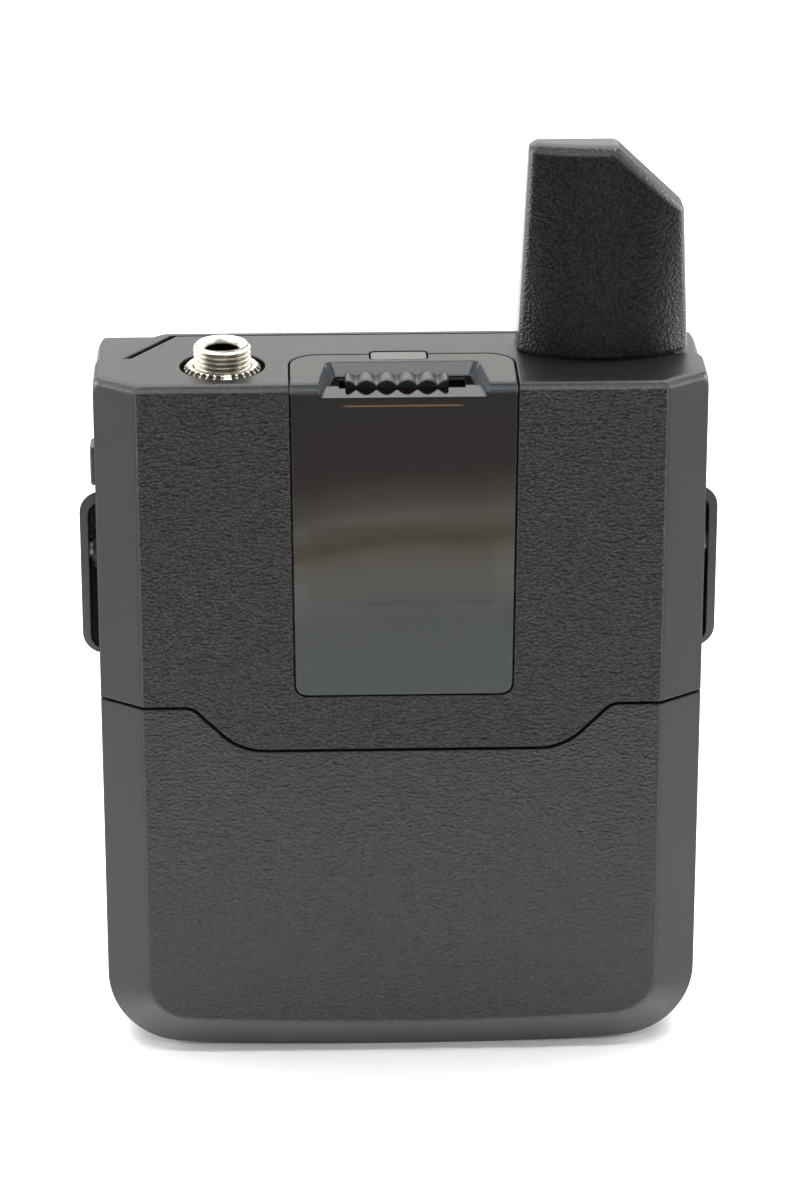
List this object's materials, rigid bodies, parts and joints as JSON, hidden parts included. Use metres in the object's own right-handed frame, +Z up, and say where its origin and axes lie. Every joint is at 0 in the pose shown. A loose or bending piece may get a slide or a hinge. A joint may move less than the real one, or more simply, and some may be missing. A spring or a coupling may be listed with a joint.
{
  "type": "wireless bodypack transmitter",
  "caption": "Belt-worn radio microphone transmitter with a threaded jack, stub antenna, mute slider, display window, slide-off battery pack and belt clip.",
  "frame": {"origin": "centre of the small flat under the battery pack that the transmitter stands on, halfway through the body's depth", "axes": "+Z up from the battery pack to the antenna, +Y from the display window back to the belt clip, +X to the wearer-side right of the front face, where the antenna is"},
  "size_m": [0.068, 0.0237, 0.0995],
  "materials": {
    "shell_plastic": "fine spark-eroded grain",
    "pack_plastic": "fine spark-eroded grain",
    "antenna_plastic": "fine grain",
    "window_acrylic": "polished smoked acrylic",
    "lens_plastic": "diffusing light pipe",
    "button_plastic": "satin",
    "inner_plastic": "moulded",
    "nickel": "nickel plate",
    "steel": "bright",
    "dark_steel": "black powder coat on spring steel",
    "gold": "gold plate",
    "brass_core": "plain",
    "board": "solder mask",
    "chip": "moulded epoxy",
    "shield": "tinned sheet",
    "display": "unlit display glass",
    "backlight": "light guide",
    "rubber": "soft",
    "foam": "open foam",
    "cell_wrap": "cell sleeve",
    "spring_wire": "music wire"
  },
  "bodies": {
    "transmitter": {"front_shell": "shell_plastic", "rear_shell": "shell_plastic", "base_panel": "inner_plastic", "display_window": "window_acrylic", "led_lens": "lens_plastic", "status_led": "lens_plastic", "case_screws": "steel", "pivot_bushes": "inner_plastic", "battery_terminals": "gold", "jack_bushing": "nickel", "jack_nut": "nickel", "jack_body": "inner_plastic", "jack_contacts": "gold", "antenna_cap": "antenna_plastic", "antenna_seal": "rubber", "antenna_element": "brass_core", "antenna_contact": "gold", "lcd_glass": "display", "lcd_backlight": "backlight", "lcd_frame": "inner_plastic", "main_board": "board", "board_chips": "chip", "rf_shield": "shield", "board_screws": "steel", "switch_board": "board", "mute_switch_body": "inner_plastic", "side_switch": "inner_plastic"},
    "mute_slide": {"mute_slider": "button_plastic", "mute_switch_lever": "inner_plastic"},
    "menu_button": {"side_button": "button_plastic"},
    "battery_pack": {"pack_cover": "pack_plastic", "pack_base": "pack_plastic", "charge_contacts": "gold", "lithium_cell": "cell_wrap", "cell_pad": "foam", "pack_board": "board", "pack_contacts": "gold", "release_spring_left": "spring_wire", "release_spring_right": "spring_wire"},
    "left_release": {"release_button_left": "button_plastic"},
    "right_release": {"release_button_right": "button_plastic"},
    "clip": {"belt_clip": "dark_steel", "clip_pins": "steel"}
  },
  "joints": [
    {"name": "mute_travel", "type": "slide", "parent": "transmitter", "child": "mute_slide", "axis": [1, 0, 0], "range_m": [0, 0.0015]},
    {"name": "menu_press", "type": "slide", "parent": "transmitter", "child": "menu_button", "axis": [1, 0, 0], "range_m": [0, 0.0006], "stiffness_N_per_m": 400, "springref_m": -0.0008},
    {"name": "pack_slide", "type": "slide", "parent": "transmitter", "child": "battery_pack", "axis": [0, 0, -1], "range_m": [0, 0.016]},
    {"name": "left_latch_press", "type": "slide", "parent": "battery_pack", "child": "left_release", "axis": [1, 0, 0], "range_m": [0, 0.0012], "stiffness_N_per_m": 800, "springref_m": -0.001, "deforming": ["release_spring_left"]},
    {"name": "right_latch_press", "type": "slide", "parent": "battery_pack", "child": "right_release", "axis": [-1, 0, 0], "range_m": [0, 0.0012], "stiffness_N_per_m": 800, "springref_m": -0.001, "deforming": ["release_spring_right"]},
    {"name": "clip_hinge", "type": "hinge", "parent": "transmitter", "child": "clip", "pos_m": [0, 0.005, 0.0548], "axis": [1, 0, 0], "range_deg": [0, 15], "stiffness_Nm_per_rad": 2, "springref_deg": -5.73}
  ]
}
